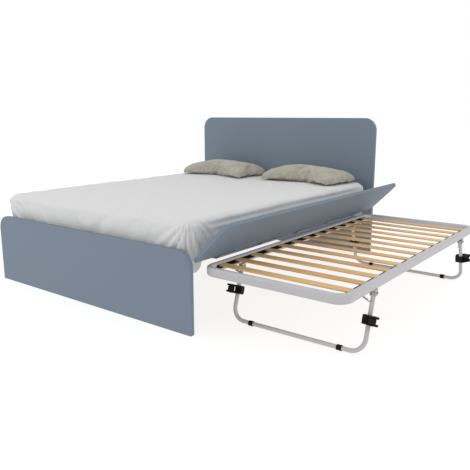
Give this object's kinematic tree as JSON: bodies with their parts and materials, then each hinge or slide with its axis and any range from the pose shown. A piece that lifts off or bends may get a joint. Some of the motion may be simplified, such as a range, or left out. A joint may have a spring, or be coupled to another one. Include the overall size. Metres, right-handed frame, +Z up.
{
  "type": "trundle bed",
  "caption": "Double bed with panel head and foot boards, a fold-up side flap and a slatted trundle on folding legs with rollers.",
  "frame": {"origin": "centre of the footboard's underside, on the floor", "axes": "+X across the bed towards the trundle, +Y from the foot to the head, +Z up"},
  "size_m": [2.543, 2.128, 1.058],
  "materials": {
    "painted_board": "satin",
    "base_steel": "satin",
    "zinc_steel": "satin",
    "spring_steel": "satin",
    "trundle_steel": "satin",
    "slat_plywood": "satin",
    "black_plastic": "matte",
    "roller_rubber": "matte",
    "mattress_ticking": "matte",
    "sheet_cotton": "matte",
    "pillow_linen": "matte"
  },
  "bodies": {
    "main_bed": {"base_centre_beam": "base_steel", "base_cross_tubes": "base_steel", "base_rail_left": "base_steel", "base_rail_right": "base_steel", "base_slat_pads": "black_plastic", "base_slats": "slat_plywood", "bracket_bolts": "zinc_steel", "bracket_foot_left": "base_steel", "bracket_foot_right": "base_steel", "bracket_head_left": "base_steel", "bracket_head_right": "base_steel", "fitted_sheet": "sheet_cotton", "footboard": "painted_board", "headboard": "painted_board", "hinge_leaves_base": "zinc_steel", "hinge_pins": "zinc_steel", "hinge_rail": "base_steel", "mattress": "mattress_ticking", "panel_straps": "base_steel", "pillow_left": "pillow_linen", "pillow_right": "pillow_linen", "side_panel_left": "painted_board"},
    "flap": {"flap_panel": "painted_board", "hinge_leaves_flap": "zinc_steel", "hinge_screws": "zinc_steel"},
    "trundle": {"leg_brackets": "trundle_steel", "leg_pivot_bolts": "zinc_steel", "leg_springs_foot": "spring_steel", "leg_springs_head": "spring_steel", "slat_ledge_inner": "black_plastic", "slat_ledge_outer": "black_plastic", "trundle_end_foot": "trundle_steel", "trundle_end_head": "trundle_steel", "trundle_rail_inner": "trundle_steel", "trundle_rail_outer": "trundle_steel", "trundle_slat_01": "slat_plywood", "trundle_slat_02": "slat_plywood", "trundle_slat_03": "slat_plywood", "trundle_slat_04": "slat_plywood", "trundle_slat_05": "slat_plywood", "trundle_slat_06": "slat_plywood", "trundle_slat_07": "slat_plywood", "trundle_slat_08": "slat_plywood", "trundle_slat_09": "slat_plywood", "trundle_slat_10": "slat_plywood", "trundle_slat_11": "slat_plywood", "trundle_slat_12": "slat_plywood", "trundle_slat_13": "slat_plywood"},
    "foot_leg": {"leg_foot_pads_foot": "black_plastic", "leg_tube_foot": "trundle_steel", "roller_axles_foot": "zinc_steel", "roller_carriers_foot": "black_plastic"},
    "head_leg": {"leg_foot_pads_head": "black_plastic", "leg_tube_head": "trundle_steel", "roller_axles_head": "zinc_steel", "roller_carriers_head": "black_plastic"},
    "roller_foot_inner": {"wheel_inner_foot": "roller_rubber"},
    "roller_foot_outer": {"wheel_outer_foot": "roller_rubber"},
    "roller_head_inner": {"wheel_inner_head": "roller_rubber"},
    "roller_head_outer": {"wheel_outer_head": "roller_rubber"}
  },
  "joints": [
    {"name": "trundle_stow", "type": "slide", "parent": "main_bed", "child": "trundle", "axis": [-0.9804, 0, -0.1969], "range_m": [0, 1.22396]},
    {"name": "flap_swing", "type": "hinge", "parent": "main_bed", "child": "flap", "pos_m": [0.855, 1.05, 0.367], "axis": [0, 1, 0], "range_deg": [0, 135]},
    {"name": "foot_leg_fold", "type": "hinge", "parent": "trundle", "child": "foot_leg", "pos_m": [1.261, 0.371, 0.288], "axis": [1, 0, 0], "range_deg": [0, 106.7], "deforming": ["leg_springs_foot"]},
    {"name": "head_leg_fold", "type": "hinge", "parent": "trundle", "child": "head_leg", "pos_m": [1.261, 1.697, 0.288], "axis": [-1, 0, 0], "range_deg": [0, 106.7], "deforming": ["leg_springs_head"]},
    {"name": "roller_foot_inner_spin", "type": "hinge", "parent": "foot_leg", "child": "roller_foot_inner", "pos_m": [0.857, 0.30644, 0.17373], "axis": [0, -0.2874, -0.9578], "continuous": true},
    {"name": "roller_foot_outer_spin", "type": "hinge", "parent": "foot_leg", "child": "roller_foot_outer", "pos_m": [1.665, 0.30644, 0.17373], "axis": [0, -0.2874, -0.9578], "continuous": true},
    {"name": "roller_head_inner_spin", "type": "hinge", "parent": "head_leg", "child": "roller_head_inner", "pos_m": [0.857, 1.76156, 0.17373], "axis": [0, 0.2874, -0.9578], "continuous": true},
    {"name": "roller_head_outer_spin", "type": "hinge", "parent": "head_leg", "child": "roller_head_outer", "pos_m": [1.665, 1.76156, 0.17373], "axis": [0, 0.2874, -0.9578], "continuous": true}
  ],
  "couplings": [
    {"joint": "flap_swing", "follows": "trundle_stow", "rad_per_m": 1.9251},
    {"joint": "foot_leg_fold", "follows": "trundle_stow", "rad_per_m": 1.5215},
    {"joint": "head_leg_fold", "follows": "trundle_stow", "rad_per_m": 1.5215}
  ]
}
